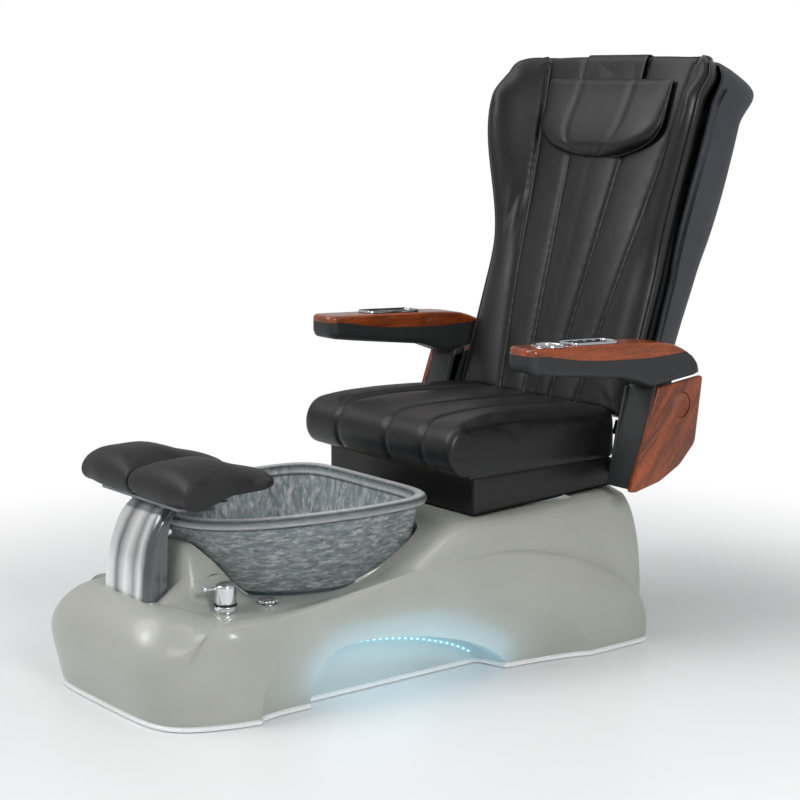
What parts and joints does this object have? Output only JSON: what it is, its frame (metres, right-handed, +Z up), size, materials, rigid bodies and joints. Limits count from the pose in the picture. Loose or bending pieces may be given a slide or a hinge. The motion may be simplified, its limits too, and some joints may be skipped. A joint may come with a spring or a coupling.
{
  "type": "pedicure spa chair",
  "caption": "Pedicure spa chair: black quilted massage chair with wooden armrests on a grey moulded base with a glass foot bowl, padded footrest and lit side recesses.",
  "frame": {"origin": "Middle of the width and of the length, on the floor, in millimetres in the source and metres here", "axes": "+X is the sitter's left, +Y points to the back of the chair, +Z is up"},
  "size_m": [0.793, 1.6359, 1.3111],
  "materials": {
    "gelcoat": "satin grey gel-coat",
    "white_trim": "glossy white",
    "glass": "hammered glass",
    "rubber": "matte",
    "chrome": "polished",
    "stainless": "polished sheet",
    "grey_steel": "grey",
    "black_steel": "satin black",
    "zinc_steel": "zinc plated",
    "pipe_plastic": "white",
    "dark_plastic": "fine texture",
    "box_plastic": "grey",
    "brass": "cast",
    "copper": "drawn tube",
    "light_cover": "milky cover",
    "pad_vinyl": "dark grey vinyl",
    "black_leather": "soft black",
    "grey_leather": "blue-grey",
    "plywood": "raw",
    "walnut": "polished, dark streaks",
    "key_film": "gloss"
  },
  "bodies": {
    "base": {"base_shell": "gelcoat", "base_trim": "white_trim", "foot_bowl": "glass", "bowl_gasket": "rubber", "drain_flange": "chrome", "drain_nut": "pipe_plastic", "drain_pipe": "pipe_plastic", "drain_pump": "box_plastic", "base_frame": "black_steel", "levelling_feet": "rubber", "control_box": "box_plastic", "water_manifold": "brass", "supply_pipes": "copper", "light_strip_left": "light_cover", "light_strip_right": "light_cover", "pedestal": "stainless", "footrest_pin": "zinc_steel", "mixer_body": "chrome", "diverter_body": "chrome", "tap_body": "chrome", "fixed_rails": "zinc_steel", "slide_actuator": "black_steel"},
    "footrest": {"footrest_bracket": "grey_steel", "footrest_pad_left": "pad_vinyl", "footrest_pad_right": "pad_vinyl"},
    "mixer_lever": {"mixer_handle": "chrome"},
    "diverter": {"diverter_knob": "chrome"},
    "tap": {"tap_knob": "chrome"},
    "carriage": {"moving_rails": "zinc_steel", "seat_frame": "black_steel", "seat_pan": "plywood", "seat_apron": "black_leather", "seat_cushion": "black_leather", "recline_motor": "black_steel", "recline_pins": "zinc_steel"},
    "rod": {"recline_rod": "zinc_steel"},
    "back": {"back_frame": "black_steel", "back_cushion": "black_leather", "back_shell": "grey_leather", "massage_tracks": "zinc_steel", "pillow_strap": "black_leather"},
    "massager": {"massage_carriage": "grey_steel"},
    "roller_low": {"rollers_lower": "pipe_plastic"},
    "roller_high": {"rollers_upper": "pipe_plastic"},
    "pillow": {"headrest_pillow": "black_leather"},
    "arm_left": {"arm_body_left": "dark_plastic", "arm_cap_left": "walnut", "arm_panel_left": "walnut", "arm_pivot_left": "walnut", "cup_ring": "chrome", "control_tray": "chrome", "control_keys": "key_film"},
    "arm_right": {"arm_body_right": "dark_plastic", "arm_cap_right": "walnut", "arm_panel_right": "walnut", "arm_pivot_right": "walnut", "side_tray": "chrome"}
  },
  "joints": [
    {"name": "footrest_tilt", "type": "hinge", "parent": "base", "child": "footrest", "pos_m": [0, -0.668, 0.394], "axis": [1, 0, 0], "range_deg": [0, 12]},
    {"name": "mixer_turn", "type": "hinge", "parent": "base", "child": "mixer_lever", "pos_m": [0.173, -0.601, 0.228], "axis": [0, 0, 1], "range_deg": [-60, 60]},
    {"name": "diverter_turn", "type": "hinge", "parent": "base", "child": "diverter", "pos_m": [0.176, -0.501, 0.212], "axis": [0, 0, 1], "range_deg": [-90, 90]},
    {"name": "tap_turn", "type": "hinge", "parent": "base", "child": "tap", "pos_m": [0.03, -0.645, 0.352], "axis": [1, 0, 0], "range_deg": [0, 270]},
    {"name": "seat_slide", "type": "slide", "parent": "base", "child": "carriage", "axis": [0, 0.9993, 0.0384], "range_m": [-0.025, 0.06]},
    {"name": "recline", "type": "hinge", "parent": "carriage", "child": "back", "pos_m": [0, 0.431, 0.47], "axis": [-1, 0, 0], "range_deg": [0, 30]},
    {"name": "rod_slide", "type": "slide", "parent": "carriage", "child": "rod", "axis": [0, -1, 0], "range_m": [0, 0.0475]},
    {"name": "massage_travel", "type": "slide", "parent": "back", "child": "massager", "axis": [0, 0.3024, 0.9532], "range_m": [-0.22, 0.22]},
    {"name": "roller_low_spin", "type": "hinge", "parent": "massager", "child": "roller_low", "pos_m": [0, 0.53818, 0.79794], "axis": [1, 0, 0], "continuous": true},
    {"name": "roller_high_spin", "type": "hinge", "parent": "massager", "child": "roller_high", "pos_m": [0, 0.55934, 0.86467], "axis": [1, 0, 0], "continuous": true},
    {"name": "pillow_flap", "type": "hinge", "parent": "back", "child": "pillow", "pos_m": [0, 0.61318, 1.25464], "axis": [-1, 0, 0], "range_deg": [0, 50]},
    {"name": "arm_left_lift", "type": "hinge", "parent": "carriage", "child": "arm_left", "pos_m": [0, 0.459, 0.543], "axis": [-1, 0, 0], "range_deg": [0, 50]},
    {"name": "arm_right_lift", "type": "hinge", "parent": "carriage", "child": "arm_right", "pos_m": [0, 0.459, 0.543], "axis": [-1, 0, 0], "range_deg": [0, 50]}
  ],
  "couplings": [
    {"joint": "rod_slide", "follows": "recline", "m_per_rad": 0.0888}
  ]
}
